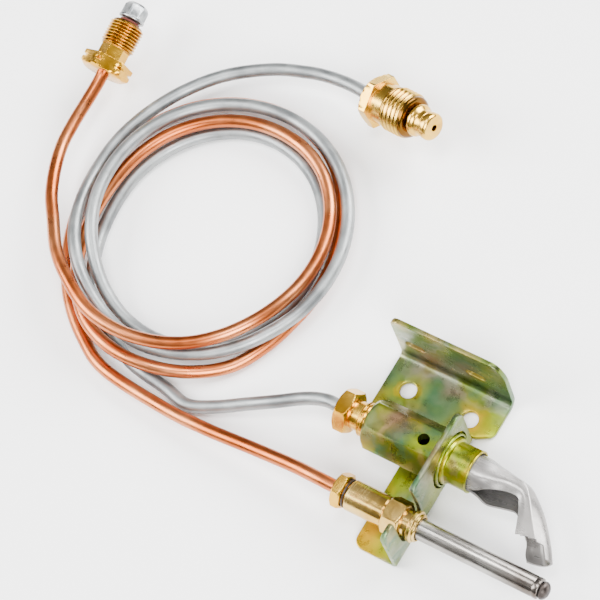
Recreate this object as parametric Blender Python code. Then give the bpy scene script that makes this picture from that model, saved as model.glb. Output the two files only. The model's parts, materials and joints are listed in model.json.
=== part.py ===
"""Gas pilot assembly: bracket, pilot burner with hood, thermocouple and coiled gas tube.

Lengths below are millimetres and are turned into metres where a mesh is made. Working x is
measured from the outer face of the side flange; the row's origin lies ORIGIN_BACK behind it,
on the back of the plate, under the pilot's axis. +X is the flame end, +Y the slotted flange,
+Z the front of the plate. The plate and both coiled tubes lie on z = 0.
"""
import math

import bmesh
import bpy
from mathutils import Matrix, Vector

# ---------------------------------------------------------------- driving dimensions (mm)
MM = 0.001
ORIGIN_BACK = 6.0
SEGMENTS = 36
SMALL_SEGMENTS = 24
GAP = 0.3

SHEET = 1.2
PLATE_LEFT, PLATE_RIGHT = -25.6, 3.8
LOWER_LEFT = -11.8
PLATE_BOTTOM, PLATE_TOP = -25.6, 21.0
STEP_Y = -0.5
FLANGE_HEIGHT = 17.4
TOP_FLANGE_HEIGHT = 18.6
BEND_OUTER = 2.0
TOP_BEND_OUTER = 2.8
HOLE_R = 2.0
HOLES = [(-19.5, 12.2), (-3.2, 12.2)]
SLOTS = [(-20.5, 8.6), (-4.6, 8.6)]
SLOT_LENGTH, SLOT_WIDTH = 5.0, 2.6
BURNER_HOLE_R = 6.9

PILOT_Z = 7.4
PILOT_AF = 11.1
PILOT_REAR = -20.3
TUBE_R = 4.95
TUBE_END = 6.7
AIR_HOLE_R = 1.4
AIR_HOLE_X = -5.8

PROBE_Y, PROBE_Z = -17.1, 7.4
PROBE_R = 2.42
PROBE_TIP = 32.7
SLEEVE_R = 3.65

CORD_R = 1.5875
CORD_POINTS = 80
COIL_X, COIL_Y = -82.0, 26.0

LEAD_NUT_BASE = (-127.7, 49.3, 8.5)
LEAD_NUT_AIM = (-0.0186, 0.985, 0.1716)
GAS_NUT_BASE = (-62.45, 71.85, 7.85)
GAS_NUT_AIM = (0.9608, -0.1511, 0.2325)

# ---------------------------------------------------------------- routes (mm)
# Each coil station is (angle round the coil in degrees, radius, height of the centreline).
LEAD_START = [
    (-127.9, 60.1, 10.4), (-127.8, 54.2, 9.4), (-127.7, 49.3, 8.5), (-127.6, 46.3, 8.0),
    (-127.6, 41.0, 7.5), (-127.4, 35.5, 7.4), (-126.5, 28.8, 7.6), (-124.2, 22.2, 7.9),
    (-120.8, 15.8, 8.3),
]
LEAD_COIL = [
    (204, 37.9, 8.9), (216, 36.6, 9.8), (232, 35.1, 10.6), (246, 34.8, 10.6), (258, 34.2, 10.2),
    (272, 33.0, 9.3), (290, 31.7, 8.8), (316, 30.0, 8.8), (334, 29.0, 8.0), (352, 28.3, 6.3),
    (372, 28.4, 5.4), (396, 29.1, 5.2), (420, 29.6, 5.2), (445, 29.3, 5.2), (475, 28.9, 5.2),
    (505, 28.5, 5.2), (535, 28.2, 5.2), (553, 29.1, 5.1), (570, 31.2, 4.7), (585, 33.4, 4.8),
    (600, 35.4, 5.3), (614, 36.9, 5.5), (632, 37.2, 5.4), (648, 36.8, 4.5), (664, 35.8, 2.2),
    (678, 33.9, 1.6), (695, 31.8, 1.6), (712, 30.9, 1.6), (736, 30.7, 1.6), (760, 31.6, 1.6),
    (785, 33.6, 1.6), (815, 35.2, 1.6), (850, 35.8, 1.6), (880, 35.3, 1.6), (905, 35.2, 1.6),
    (930, 35.6, 1.6), (950, 37.1, 1.6), (968, 39.1, 1.7), (984, 41.6, 2.2),
]
LEAD_END = [
    (-68.0, -17.4, 2.8), (-56.0, -17.6, 3.6), (-44.0, -17.1, 4.8),
    (-32.0, -16.8, 6.3), (-25.5, -17.0, 7.2), (-21.0, -17.1, 7.4), (-14.0, -17.1, 7.4),
]
GAS_START = [
    (-54.2, 70.55, 9.85), (-58.5, 71.2, 8.8), (-62.45, 71.85, 7.85), (-65.3, 72.3, 7.15),
    (-70.4, 73.1, 6.4), (-76.4, 73.0, 6.0), (-82.2, 72.1, 5.6),
]
GAS_COIL = [
    (102, 44.1, 5.3), (120, 41.0, 5.2), (136, 38.3, 5.2), (152, 36.3, 5.2), (168, 34.8, 5.4),
    (182, 33.6, 5.7), (196, 32.7, 7.4), (210, 32.2, 8.7), (224, 31.9, 8.9), (240, 31.9, 8.1),
    (255, 32.3, 6.5), (270, 32.9, 5.5), (286, 32.8, 5.4), (306, 32.5, 5.2), (326, 32.2, 5.2),
    (346, 32.6, 5.2), (372, 33.1, 5.2), (400, 33.4, 5.2), (430, 33.7, 5.2), (458, 33.5, 5.3),
    (486, 32.9, 5.7), (506, 31.6, 7.1), (524, 29.9, 8.7), (544, 28.9, 8.9), (560, 28.4, 8.8),
    (575, 28.1, 7.8), (590, 28.3, 5.9), (610, 28.9, 3.6), (635, 29.3, 2.0), (660, 29.1, 1.6),
    (690, 27.7, 1.6), (720, 26.9, 1.6), (750, 26.8, 1.6), (785, 27.5, 1.6), (820, 27.8, 1.6),
    (850, 27.3, 1.6), (880, 26.8, 1.6), (905, 26.7, 1.6), (925, 27.8, 1.6), (945, 30.3, 1.6),
    (965, 32.8, 1.6), (978, 34.7, 1.6), (992, 37.2, 1.6), (1006, 40.2, 1.6),
]
GAS_END = [
    (-64.0, -14.0, 1.7), (-57.5, -11.6, 2.1), (-50.5, -7.9, 3.2), (-44.0, -4.7, 4.7),
    (-37.5, -1.5, 6.4), (-32.8, -0.1, 7.3), (-29.6, 0.0, 7.4), (-16.6, 0.0, 7.4),
]

for old in list(bpy.data.objects):
    bpy.data.objects.remove(old, do_unlink=True)


# ---------------------------------------------------------------- helpers
def material(name, colour, metallic, roughness):
    mat = bpy.data.materials.new(name)
    mat.use_nodes = True
    shader = mat.node_tree.nodes["Principled BSDF"]
    shader.inputs["Base Color"].default_value = (*colour, 1.0)
    shader.inputs["Metallic"].default_value = metallic
    shader.inputs["Roughness"].default_value = roughness
    mat.diffuse_color = (*colour, 1.0)
    return mat


FINISHES = {
    "zinc_plate": ((0.62, 0.60, 0.30), 0.9, 0.35),
    "brass": ((0.82, 0.60, 0.25), 1.0, 0.28),
    "copper": ((0.78, 0.38, 0.22), 1.0, 0.30),
    "aluminium": ((0.66, 0.67, 0.66), 0.9, 0.45),
    "stainless": ((0.60, 0.58, 0.55), 1.0, 0.30),
    "silver": ((0.80, 0.81, 0.82), 1.0, 0.25),
    "red_fibre": ((0.30, 0.07, 0.05), 0.0, 0.70),
    "dark_steel": ((0.10, 0.09, 0.08), 0.8, 0.50),
    "ceramic": ((0.85, 0.82, 0.74), 0.0, 0.60),
}


def finish(obj, slot):
    """Give the object a material of its own and crisp but smooth shading."""
    colour, metallic, roughness = FINISHES[slot]
    obj.data.materials.append(material(obj.name + "_" + slot, colour, metallic, roughness))
    if obj.type == "MESH":
        obj.data.shade_smooth()
        obj.data.set_sharp_from_angle(angle=math.radians(30))
    return obj


def new_object(name, mesh):
    obj = bpy.data.objects.new(name, mesh)
    bpy.context.scene.collection.objects.link(obj)
    return obj


def metres(x, y, z):
    """Working millimetres to the row frame's metres."""
    return Vector(((x + ORIGIN_BACK) * MM, y * MM, z * MM))


def aimed(base, aim):
    """Matrix that takes local +X to aim and the local origin to base (working mm)."""
    ahead = Vector(aim).normalized()
    side = Vector((0, 0, 1)).cross(ahead).normalized()
    up = ahead.cross(side)
    turn = Matrix((ahead, side, up)).transposed().to_4x4()
    return Matrix.Translation(metres(*base)) @ turn


def ring_radius(shape, radius, angle):
    """Radius at an angle: round, hexagon (radius is half the flats) or hexagon cut at its corners."""
    if shape == "round":
        return radius
    off = (angle + math.pi / 6) % (math.pi / 3) - math.pi / 6
    flat = radius / math.cos(off)
    if shape == "chamfer":
        return min(flat, radius * 1.03)
    return flat


def turned(name, slot, outer, bore, base, aim=(1, 0, 0), turn=0.0, sides=SEGMENTS):
    """A part turned about local +X from (x, radius, shape) stations.

    bore is a list of (x, radius) from the far end back to the near end; without it the ends
    are closed by a centre point.
    """
    bm = bmesh.new()
    rings = []
    for x, radius, shape in outer:
        ring = []
        for k in range(sides):
            a = 2 * math.pi * k / sides
            r = ring_radius(shape, radius, a) * MM
            ring.append(bm.verts.new((x * MM, r * math.cos(a + turn), r * math.sin(a + turn))))
        rings.append(ring)
    for x, radius in bore:
        ring = []
        for k in range(sides):
            a = 2 * math.pi * k / sides + turn
            ring.append(bm.verts.new((x * MM, radius * math.cos(a) * MM, radius * math.sin(a) * MM)))
        rings.append(ring)
    count = len(rings)
    pairs = [(i, i + 1) for i in range(count - 1)]
    if bore:
        pairs.append((count - 1, 0))
    for i, j in pairs:
        for k in range(sides):
            n = (k + 1) % sides
            bm.faces.new((rings[i][k], rings[i][n], rings[j][n], rings[j][k]))
    if not bore:
        first = bm.verts.new((outer[0][0] * MM, 0, 0))
        last = bm.verts.new((outer[-1][0] * MM, 0, 0))
        for k in range(sides):
            n = (k + 1) % sides
            bm.faces.new((first, rings[0][n], rings[0][k]))
            bm.faces.new((last, rings[-1][k], rings[-1][n]))
    bmesh.ops.recalc_face_normals(bm, faces=bm.faces)
    mesh = bpy.data.meshes.new(name)
    bm.to_mesh(mesh)
    bm.free()
    obj = new_object(name, mesh)
    obj.matrix_world = aimed(base, aim)
    return finish(obj, slot)


def thread(start, end, radius, depth, pitch):
    """Crest and root stations of a thread drawn as rings."""
    stations = []
    turns = int(round((end - start) / pitch))
    for k in range(turns):
        x = start + k * pitch
        stations.append((x, radius - depth, "round"))
        stations.append((x + pitch * 0.42, radius, "round"))
        stations.append((x + pitch * 0.58, radius, "round"))
    stations.append((start + turns * pitch, radius - depth, "round"))
    return stations


def prism(name, outline, axis, low, high):
    """Closed prism: an outline of (u, v) in mm pushed along an axis from low to high."""
    bm = bmesh.new()
    ends = []
    for level in (low, high):
        ring = []
        for u, v in outline:
            point = {"x": (level, u, v), "y": (u, level, v), "z": (u, v, level)}[axis]
            ring.append(bm.verts.new(metres(*point)))
        ends.append(ring)
    count = len(outline)
    for k in range(count):
        n = (k + 1) % count
        bm.faces.new((ends[0][k], ends[0][n], ends[1][n], ends[1][k]))
    bm.faces.new(list(reversed(ends[0])))
    bm.faces.new(ends[1])
    bmesh.ops.recalc_face_normals(bm, faces=bm.faces)
    mesh = bpy.data.meshes.new(name)
    bm.to_mesh(mesh)
    bm.free()
    return new_object(name, mesh)


def arc(cx, cy, radius, start, end, steps):
    """Points round an arc, angles in degrees."""
    points = []
    for k in range(steps + 1):
        a = math.radians(start + (end - start) * k / steps)
        points.append((cx + radius * math.cos(a), cy + radius * math.sin(a)))
    return points


def combine(target, tool, operation):
    """Apply an exact Boolean and drop the tool."""
    tool.hide_render = True
    tool.display_type = "WIRE"
    mod = target.modifiers.new(operation.lower(), "BOOLEAN")
    mod.operation = operation
    mod.solver = "EXACT"
    mod.object = tool
    bpy.context.view_layer.update()
    graph = bpy.context.evaluated_depsgraph_get()
    mesh = bpy.data.meshes.new_from_object(target.evaluated_get(graph))
    target.modifiers.clear()
    target.data = mesh
    bpy.data.objects.remove(tool, do_unlink=True)


def catmull(a, b, c, d, t):
    return 0.5 * ((2 * b) + (c - a) * t + (2 * a - 5 * b + 4 * c - d) * t * t
                  + (3 * b - a - 3 * c + d) * t ** 3)


def coil_points(stations, step=15.0):
    """Walk round the coil, easing radius and height between the stations."""
    start, end = stations[0][0], stations[-1][0]
    count = int(round((end - start) / step))
    points = []
    for k in range(count + 1):
        angle = start + (end - start) * k / count
        i = 0
        while i < len(stations) - 2 and stations[i + 1][0] <= angle:
            i += 1
        span = stations[i + 1][0] - stations[i][0]
        t = (angle - stations[i][0]) / span
        values = []
        for c in (1, 2):
            slopes = []
            for j in (i, i + 1):
                before = stations[max(j - 1, 0)]
                after = stations[min(j + 1, len(stations) - 1)]
                slopes.append((after[c] - before[c]) / (after[0] - before[0]) * span)
            y0, y1 = stations[i][c], stations[i + 1][c]
            values.append((2 * t ** 3 - 3 * t * t + 1) * y0 + (t ** 3 - 2 * t * t + t) * slopes[0]
                          + (3 * t * t - 2 * t ** 3) * y1 + (t ** 3 - t * t) * slopes[1])
        radius, height = values
        a = math.radians(angle)
        points.append((COIL_X + radius * math.cos(a), COIL_Y + radius * math.sin(a), height))
    return points


def even_path(route, count):
    """Evenly spaced points along a smooth curve through the route."""
    pts = [Vector(p) for p in route]
    pts = [pts[0] * 2 - pts[1]] + pts + [pts[-1] * 2 - pts[-2]]
    fine = []
    for i in range(1, len(pts) - 2):
        for k in range(20):
            fine.append(catmull(pts[i - 1], pts[i], pts[i + 1], pts[i + 2], k / 20.0))
    fine.append(pts[-2])
    walked = [0.0]
    for a, b in zip(fine, fine[1:]):
        walked.append(walked[-1] + (b - a).length)
    path = []
    j = 0
    for k in range(count):
        goal = walked[-1] * k / (count - 1)
        while j < len(walked) - 2 and walked[j + 1] < goal:
            j += 1
        t = (goal - walked[j]) / (walked[j + 1] - walked[j])
        path.append(fine[j].lerp(fine[j + 1], t))
    return path


def cord(name, slot, route):
    curve = bpy.data.curves.new(name, "CURVE")
    curve.dimensions = "3D"
    curve.bevel_depth = CORD_R * MM
    curve.bevel_resolution = 2
    curve.use_fill_caps = True
    path = even_path(route, CORD_POINTS)
    spline = curve.splines.new("POLY")
    spline.points.add(len(path) - 1)
    for point, place in zip(spline.points, path):
        point.co = (*metres(*place), 1.0)
    return finish(new_object(name, curve), slot)


# ---------------------------------------------------------------- bracket
def side_flange_outline():
    """Side flange in (y, z): top edge, open slot for the thermocouple, lower tab."""
    slot_z, slot_r = 7.9, 4.15
    points = [(PLATE_BOTTOM, BEND_OUTER), (PLATE_BOTTOM, FLANGE_HEIGHT - 1.0),
              (PLATE_BOTTOM + 0.8, FLANGE_HEIGHT), (PROBE_Y - slot_r - 0.5, FLANGE_HEIGHT)]
    points += arc(PROBE_Y, slot_z, slot_r, 180, 360, 14)
    points += [(PROBE_Y + slot_r, FLANGE_HEIGHT), (6.6, FLANGE_HEIGHT), (8.2, FLANGE_HEIGHT - 2.0),
               (8.2, BEND_OUTER)]
    return points


def build_bracket():
    # plate outline, z is its normal
    outline = [(PLATE_LEFT, STEP_Y), (LOWER_LEFT, STEP_Y)]
    outline += arc(LOWER_LEFT + 2.4, PLATE_BOTTOM + 2.4, 2.4, 180, 270, 6)
    outline += [(-BEND_OUTER, PLATE_BOTTOM), (-BEND_OUTER, 8.2), (0.2, 9.0)]
    outline += arc(PLATE_RIGHT - 2.0, 12.0, 2.0, -70, 0, 5)
    outline += [(PLATE_RIGHT, PLATE_TOP - TOP_BEND_OUTER),
                (PLATE_LEFT, PLATE_TOP - TOP_BEND_OUTER)]
    plate = prism("bracket", outline, "z", 0.0, SHEET)

    # slotted flange with its bend; the profile overlaps the plate by 2 mm
    bend_y = PLATE_TOP - TOP_BEND_OUTER
    profile = [(bend_y - 2.0, 0.0)]
    profile += arc(bend_y, TOP_BEND_OUTER, TOP_BEND_OUTER, -90, 0, 6)
    profile += [(PLATE_TOP, TOP_FLANGE_HEIGHT), (PLATE_TOP - SHEET, TOP_FLANGE_HEIGHT)]
    profile += arc(bend_y, TOP_BEND_OUTER, TOP_BEND_OUTER - SHEET, 0, -90, 5)
    profile += [(bend_y - 2.0, SHEET)]
    flange = prism("top_flange_tool", profile, "x", PLATE_LEFT, PLATE_RIGHT)
    trim = prism("trim_right", [(PLATE_RIGHT + 1, 6.0), (PLATE_RIGHT + 1, 20.0), (0.6, 20.0),
                                (0.6, TOP_FLANGE_HEIGHT), (PLATE_RIGHT - 1.0, 16.6),
                                (PLATE_RIGHT - 0.3, 14.0), (PLATE_RIGHT, 6.0)], "y", 17.4, 23.0)
    combine(flange, trim, "DIFFERENCE")
    trim = prism("trim_left", [(PLATE_LEFT - 1, 16.8), (PLATE_LEFT - 1, 20.0),
                               (PLATE_LEFT + 1.8, 20.0), (PLATE_LEFT + 1.8, TOP_FLANGE_HEIGHT),
                               (PLATE_LEFT, 16.8)], "y", 17.4, 23.0)
    combine(flange, trim, "DIFFERENCE")
    for x, z in SLOTS:
        half = SLOT_LENGTH / 2 - SLOT_WIDTH / 2
        shape = arc(x + half, z, SLOT_WIDTH / 2, -90, 90, 8)
        shape += arc(x - half, z, SLOT_WIDTH / 2, 90, 270, 8)
        combine(flange, prism("slot_tool", shape, "y", 17.5, 23.0), "DIFFERENCE")
    combine(plate, flange, "UNION")

    # side flange with its bend, across the flame end
    side = prism("side_flange_tool", side_flange_outline(), "x", -SHEET, 0.0)
    bend = [(-BEND_OUTER - 2.0, 0.0)]
    bend += arc(-BEND_OUTER, BEND_OUTER, BEND_OUTER, -90, 0, 6)
    bend += [(0.0, BEND_OUTER + 1.0), (-SHEET, BEND_OUTER + 1.0)]
    bend += arc(-BEND_OUTER, BEND_OUTER, BEND_OUTER - SHEET, 0, -90, 4)
    bend += [(-BEND_OUTER - 2.0, SHEET)]
    combine(side, prism("bend_tool", bend, "y", PLATE_BOTTOM, 8.2), "UNION")
    combine(plate, side, "UNION")
    burner_hole = prism("burner_hole_tool", arc(0.0, PILOT_Z, BURNER_HOLE_R, 0, 352.5, 47),
                        "x", -1.6, 3.0)
    combine(plate, burner_hole, "DIFFERENCE")
    for x, y in HOLES:
        combine(plate, prism("hole_tool", arc(x, y, HOLE_R, 0, 345, 23), "z", -1.0, 3.0),
                "DIFFERENCE")
    return finish(plate, "zinc_plate")


build_bracket()

# ---------------------------------------------------------------- pilot burner
PILOT = (0.0, 0.0, PILOT_Z)
half_af = PILOT_AF / 2
HEX_TURN = math.pi / 2

body = turned("pilot_body", "zinc_plate", [
    (PILOT_REAR, 4.9, "round"), (PILOT_REAR + 0.2, half_af, "chamfer"),
    (PILOT_REAR + 1.2, half_af, "hex"), (-SHEET - GAP, half_af, "hex"),
], [
    (-SHEET - GAP, 3.6), (-3.9, 3.6), (-3.9, 2.8), (-11.6, 2.8), (-11.6, 3.0),
    (PILOT_REAR, 3.0),
], PILOT, turn=HEX_TURN)
air = prism("air_tool", arc(AIR_HOLE_X, 0.0, AIR_HOLE_R, 0, 345, 23), "z", 0.5, 16.0)
combine(body, air, "DIFFERENCE")
body.data.shade_smooth()
body.data.set_sharp_from_angle(angle=math.radians(30))

turned("mount_ring", "zinc_plate", [
    (-SHEET, 6.5, "round"), (0.1, 6.5, "round"), (0.45, 6.2, "round"),
], [(0.45, 5.95), (-SHEET, 5.95)], PILOT)

turned("burner_tube", "zinc_plate", [
    (-3.6, 3.3, "round"), (-SHEET, 3.3, "round"), (-SHEET, 5.65, "round"), (0.9, 5.65, "round"),
    (1.2, 5.4, "round"), (1.2, TUBE_R, "round"), (TUBE_END - 0.5, TUBE_R, "round"),
    (TUBE_END - 0.4, TUBE_R + 0.15, "round"), (TUBE_END, TUBE_R + 0.15, "round"),
], [
    (TUBE_END, 4.5), (3.2, 4.5), (3.2, 2.6), (-3.6, 2.6),
], PILOT)

turned("pilot_orifice", "brass", [
    (-16.2, 2.7, "round"), (-13.2, 2.7, "round"), (-12.6, 2.2, "round"), (-11.9, 2.2, "round"),
], [(-11.9, 0.5), (-13.4, 0.5), (-14.2, 1.5), (-16.2, 1.5)], PILOT, sides=SMALL_SEGMENTS)

turned("inlet_nut", "brass", [
    (-28.4, 4.75, "chamfer"), (-27.8, 4.75, "hex"), (-25.4, 4.75, "hex"),
    (-24.8, 4.75, "chamfer"), (-24.8, 3.45, "round"), (-22.4, 3.45, "round"),
    (-22.4, 4.0, "round"), (-21.9, 4.2, "round"), (-21.1, 4.2, "round"),
    (PILOT_REAR - GAP, 4.0, "round"), (PILOT_REAR - GAP, 2.7, "round"), (-18.6, 2.7, "round"),
], [(-18.6, 1.95), (-28.4, 1.95)], PILOT, turn=HEX_TURN)

turned("inlet_ferrule", "brass", [
    (-18.2, 2.3, "round"), (-17.5, 2.6, "round"), (-16.9, 2.3, "round"),
], [(-16.9, 1.95), (-18.2, 1.95)], PILOT, sides=SMALL_SEGMENTS)


def hood_section(station):
    """Outer and inner C-shaped outline, in the station's own (across, up) plane."""
    shape_power, half_height, fold, back, lip_top, lip_bottom = station[3:9]
    wall = 0.55
    count = 20
    rim = []
    for k in range(count + 1):
        a = math.radians(lip_top + (-lip_bottom - lip_top) * k / count)
        c, s = math.cos(a), math.sin(a)
        across = fold * c if c > 0 else back * c
        up = half_height * math.copysign(abs(s) ** (shape_power if c < 0 else 1.0), s)
        rim.append((across, up))
    inner = []
    for k in range(count + 1):
        before, after = rim[max(k - 1, 0)], rim[min(k + 1, count)]
        dx, dy = after[0] - before[0], after[1] - before[1]
        size = math.hypot(dx, dy)
        inner.append((rim[k][0] + dy * wall / size, rim[k][1] - dx * wall / size))
    return rim, inner


# Hood stations: x, y, heading in degrees, then squareness, half height, fold and back widths,
# and how far round from the fold the upper and lower lips reach.
HOOD = [
    (4.2, 0.0, 0, 1.00, 4.15, 4.15, 4.15, 176, 176),
    (8.2, 0.0, 0, 1.00, 4.10, 4.10, 4.20, 172, 170),
    (10.4, 0.0, 0, 0.90, 3.90, 3.80, 4.60, 150, 160),
    (13.6, -0.2, -3, 0.75, 3.20, 3.00, 4.60, 132, 156),
    (17.0, -0.6, -12, 0.60, 2.70, 2.60, 3.80, 130, 160),
    (20.4, -1.9, -32, 0.50, 2.40, 2.40, 4.40, 150, 160),
    (23.4, -4.6, -47, 0.45, 2.20, 2.20, 4.80, 165, 165),
    (26.2, -8.1, -53, 0.45, 2.00, 2.00, 5.20, 165, 165),
    (28.8, -11.9, -55, 0.45, 1.60, 1.70, 5.00, 120, 165),
]


def build_hood():
    bm = bmesh.new()
    loops = []
    for station in HOOD:
        x, y, heading = station[0:3]
        a = math.radians(heading)
        rim, inner = hood_section(station)
        loop = []
        for across, up in rim + list(reversed(inner)):
            px = x - math.sin(a) * across
            py = y + math.cos(a) * across
            loop.append(bm.verts.new(metres(px, py, PILOT_Z + up)))
        loops.append(loop)
    count = len(loops[0])
    for a, b in zip(loops, loops[1:]):
        for k in range(count):
            n = (k + 1) % count
            bm.faces.new((a[k], a[n], b[n], b[k]))
    half = count // 2
    for loop in (loops[0], loops[-1]):
        for k in range(half - 1):
            bm.faces.new((loop[k], loop[k + 1], loop[count - 2 - k], loop[count - 1 - k]))
    bmesh.ops.recalc_face_normals(bm, faces=bm.faces)
    mesh = bpy.data.meshes.new("burner_hood")
    bm.to_mesh(mesh)
    bm.free()
    return finish(new_object("burner_hood", mesh), "stainless")


build_hood()

# ---------------------------------------------------------------- thermocouple head
PROBE = (0.0, PROBE_Y, PROBE_Z)

turned("thermocouple_body", "brass", [
    (-15.8, 3.2, "round"), (-15.5, SLEEVE_R, "round"), (-6.1, SLEEVE_R, "round"),
    (-6.1, 4.0, "chamfer"), (-5.6, 4.0, "hex"), (-2.1, 4.0, "hex"), (-1.5, 4.0, "chamfer"),
    (-1.5, 3.1, "round"), (0.3, 3.1, "round"), (0.3, 3.4, "round"), (0.6, 3.75, "round"),
    (1.5, 3.75, "round"), (1.7, 3.3, "round"), (2.1, 3.3, "round"), (2.4, 3.0, "round"),
], [
    (2.4, 2.72), (-4.0, 2.72), (-4.0, 2.1), (-8.6, 2.1), (-8.6, 2.75), (-15.8, 2.75),
], PROBE, turn=HEX_TURN)

turned("retainer_nut", "brass", [
    (-19.2, 3.8, "chamfer"), (-18.7, 3.8, "hex"), (-17.2, 3.8, "hex"), (-16.7, 3.8, "chamfer"),
    (-16.7, 2.45, "round"), (-12.6, 2.45, "round"),
], [(-12.6, 1.95), (-19.2, 1.95)], PROBE, turn=HEX_TURN)

turned("retainer_washer", "dark_steel", [
    (-16.4, 3.45, "round"), (-16.1, 3.45, "round"),
], [(-16.1, 2.75), (-16.4, 2.75)], PROBE)

turned("probe_sheath", "stainless", [
    (-3.6, PROBE_R, "round"), (PROBE_TIP - 0.9, PROBE_R, "round"),
    (PROBE_TIP - 0.6, PROBE_R + 0.06, "round"), (PROBE_TIP, PROBE_R - 0.15, "round"),
], [(PROBE_TIP, 1.75), (PROBE_TIP - 2.0, 1.95), (-3.6, 1.95)], PROBE)

turned("probe_tip", "dark_steel", [
    (PROBE_TIP - 1.6, 1.4, "round"), (PROBE_TIP + 0.3, 1.4, "round"),
    (PROBE_TIP + 0.3, 2.1, "round"), (PROBE_TIP + 0.8, 2.1, "round"),
    (PROBE_TIP + 1.4, 1.8, "round"), (PROBE_TIP + 1.8, 1.2, "round"),
    (PROBE_TIP + 1.95, 0.5, "round"),
], [], PROBE, sides=SMALL_SEGMENTS)

turned("inner_rod", "dark_steel", [
    (-7.4, 0.8, "round"), (PROBE_TIP - 1.9, 0.8, "round"),
], [], PROBE, sides=SMALL_SEGMENTS)

turned("rod_insulator", "ceramic", [
    (-3.2, 1.6, "round"), (2.8, 1.6, "round"),
], [(2.8, 1.1), (-3.2, 1.1)], PROBE, sides=SMALL_SEGMENTS)

# ---------------------------------------------------------------- tubes
cord("copper_lead", "copper", LEAD_START + coil_points(LEAD_COIL) + LEAD_END)
cord("gas_tube", "aluminium", GAS_START + coil_points(GAS_COIL) + GAS_END)

# ---------------------------------------------------------------- connector on the lead
# the groove round the head cuts its corners only
turned("connector_nut", "brass", [
    (0.0, 5.5, "round"), (0.75, 5.56, "hex"), (1.7, 5.56, "hex"), (2.15, 5.56, "chamfer"),
    (2.6, 5.56, "hex"), (3.6, 5.56, "hex"), (3.6, 3.15, "hex"), (7.0, 3.15, "hex"),
    (7.0, 3.9, "round"),
] + thread(7.1, 13.45, 4.365, 0.45, 0.794) + [(13.8, 3.4, "round")],
    [(13.8, 2.75), (12.0, 2.75), (12.0, 1.95), (0.0, 1.95)],
    LEAD_NUT_BASE, LEAD_NUT_AIM)

turned("connector_seat", "copper", [
    (12.3, 2.1, "round"), (12.7, 2.4, "round"), (13.7, 2.4, "round"),
], [(13.7, 0.9), (12.3, 0.9)], LEAD_NUT_BASE, LEAD_NUT_AIM, sides=SMALL_SEGMENTS)

turned("insulating_washer", "red_fibre", [
    (14.0, 2.45, "round"), (14.1, 2.6, "round"), (14.4, 2.6, "round"), (14.5, 2.45, "round"),
], [(14.5, 0.9), (14.0, 0.9)], LEAD_NUT_BASE, LEAD_NUT_AIM, sides=SMALL_SEGMENTS)

turned("contact_cap", "silver", [
    (14.8, 3.0, "round"), (14.95, 3.27, "round"), (15.6, 3.27, "round"), (15.8, 2.8, "hex"),
    (17.4, 2.8, "hex"), (18.7, 1.95, "hex"), (19.2, 1.3, "round"),
], [(19.2, 0.9), (14.8, 0.9)], LEAD_NUT_BASE, LEAD_NUT_AIM, sides=SMALL_SEGMENTS)

turned("contact_pin", "silver", [
    (12.8, 0.6, "round"), (19.1, 0.6, "round"), (19.4, 0.3, "round"),
], [], LEAD_NUT_BASE, LEAD_NUT_AIM, sides=SMALL_SEGMENTS)

# ---------------------------------------------------------------- fitting on the gas tube
turned("gas_nut", "brass", [
    (0.0, 5.65, "round"), (0.75, 5.75, "hex"), (2.8, 5.75, "hex"),
    (2.8, 5.1, "round"), (6.3, 5.1, "round"),
] + thread(6.3, 12.65, 5.6, 0.5, 1.27) + [(12.9, 4.9, "round"), (13.3, 4.3, "round")],
    [(13.3, 2.9), (9.2, 2.9), (9.2, 1.95), (0.0, 1.95)],
    GAS_NUT_BASE, GAS_NUT_AIM)

turned("gas_nose", "brass", [
    (9.6, 2.5, "round"), (13.6, 2.5, "round"), (13.6, 3.3, "round"), (14.2, 3.95, "round"),
    (15.3, 3.95, "round"), (15.9, 3.5, "round"), (16.3, 3.3, "round"), (17.6, 3.3, "round"),
    (17.9, 3.42, "round"), (19.3, 3.42, "round"), (19.65, 3.15, "round"),
], [(19.65, 0.72), (9.6, 0.72)], GAS_NUT_BASE, GAS_NUT_AIM)

bpy.context.view_layer.update()
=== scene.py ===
"""Looks of the gas pilot assembly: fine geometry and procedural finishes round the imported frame.

Working lengths are millimetres along each piece's own axis, turned into metres where a mesh is
made. Axes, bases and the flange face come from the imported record's joints and mounts.
"""
import json
import math

import bmesh
import bpy
from mathutils import Matrix, Vector


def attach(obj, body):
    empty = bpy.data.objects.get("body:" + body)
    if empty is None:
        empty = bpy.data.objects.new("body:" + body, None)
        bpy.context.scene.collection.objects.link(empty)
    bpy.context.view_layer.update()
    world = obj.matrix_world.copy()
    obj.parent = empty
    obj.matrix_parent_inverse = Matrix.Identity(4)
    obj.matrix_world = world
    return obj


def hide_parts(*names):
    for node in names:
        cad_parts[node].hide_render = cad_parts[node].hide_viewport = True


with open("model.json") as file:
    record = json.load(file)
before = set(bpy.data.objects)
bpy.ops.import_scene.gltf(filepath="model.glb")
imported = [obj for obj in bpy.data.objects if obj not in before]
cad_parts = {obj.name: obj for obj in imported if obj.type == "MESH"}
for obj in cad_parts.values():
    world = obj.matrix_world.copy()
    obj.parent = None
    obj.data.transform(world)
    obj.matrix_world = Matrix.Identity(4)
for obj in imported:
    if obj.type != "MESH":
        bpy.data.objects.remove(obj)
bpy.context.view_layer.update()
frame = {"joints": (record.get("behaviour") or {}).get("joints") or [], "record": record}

MM = 0.001
RECORD = frame["record"]
JOINTS = {j["name"]: j for j in frame["joints"]}
MOUNTS = {m["name"]: m for m in RECORD["mounts"]}
ROOT = "assembly"

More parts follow.
